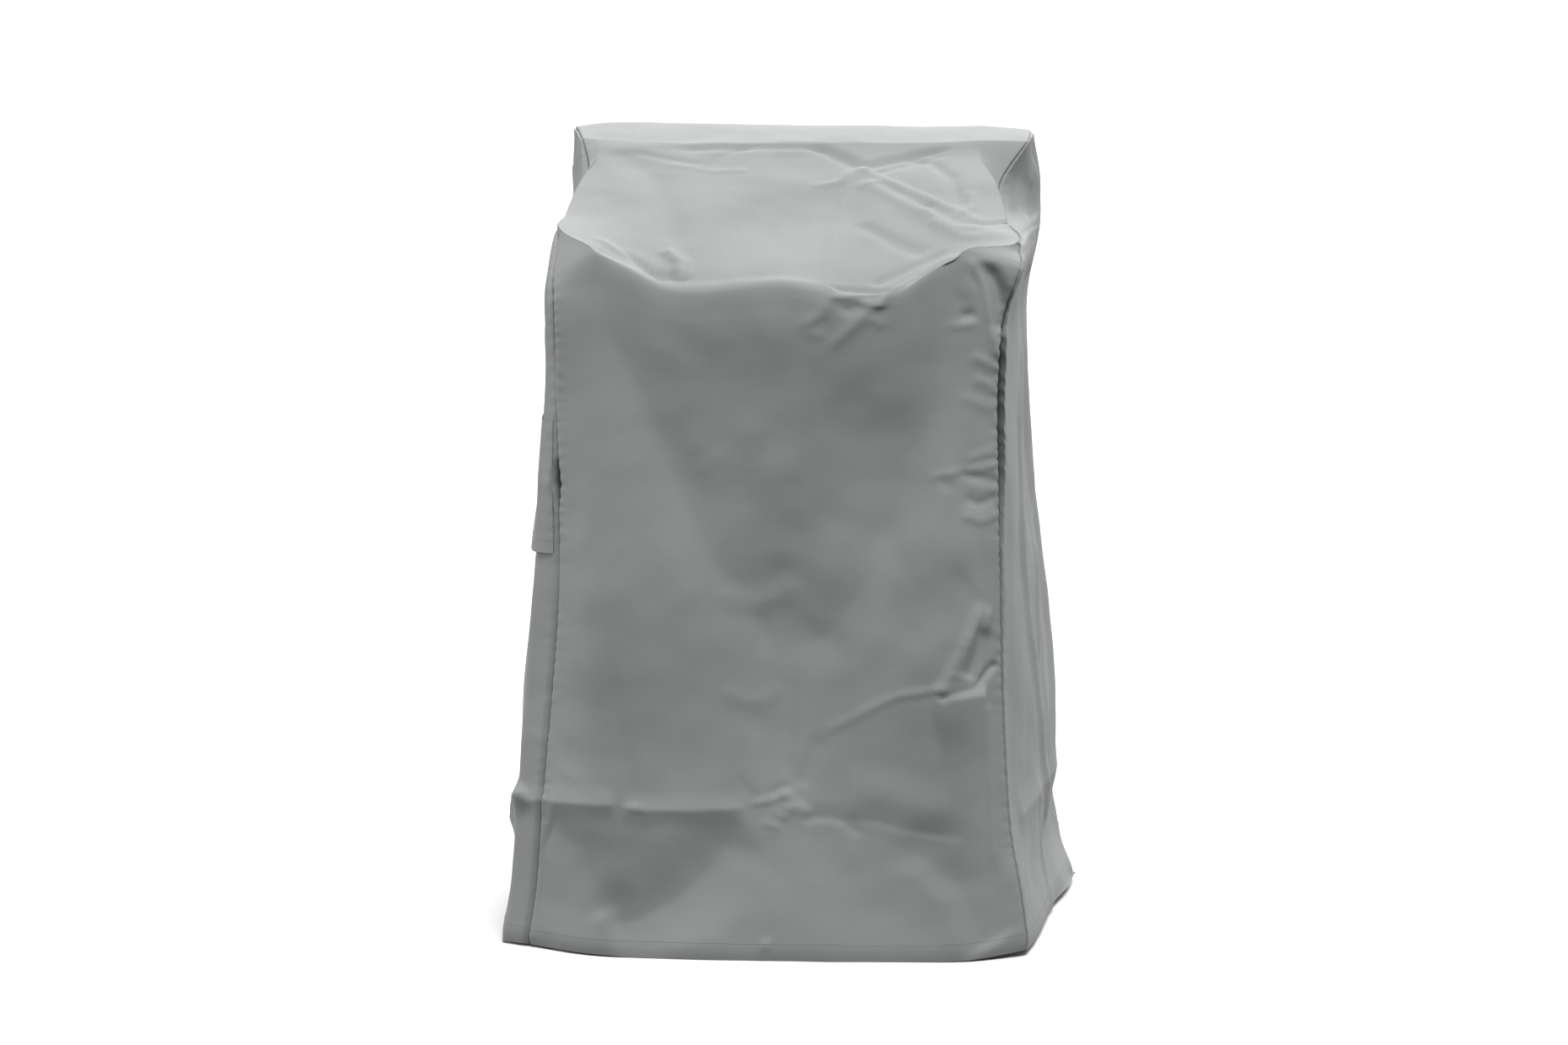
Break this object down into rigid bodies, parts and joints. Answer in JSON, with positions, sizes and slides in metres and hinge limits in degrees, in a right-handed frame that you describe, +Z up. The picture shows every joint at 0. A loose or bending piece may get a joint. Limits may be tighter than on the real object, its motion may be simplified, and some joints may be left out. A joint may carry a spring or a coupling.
{
  "type": "patio chair cover",
  "caption": "Fitted hollow cloth cover for a high-backed outdoor chair, sewn from a strip and two side panels with a vent flap, open at the floor.",
  "frame": {"origin": "on the floor, under the middle of the cover's outer box", "axes": "+Z up, the cover's front faces -Y, +X to the right as seen from the front"},
  "size_m": [0.7734, 0.6801, 1.0808],
  "materials": {
    "cover_cloth": "matt coated polyester, slightly sheeny, mid grey"
  },
  "bodies": {
    "root": {"main_panel": "cover_cloth", "left_side_panel": "cover_cloth", "right_side_panel": "cover_cloth", "vent_flap": "cover_cloth"}
  },
  "joints": []
}
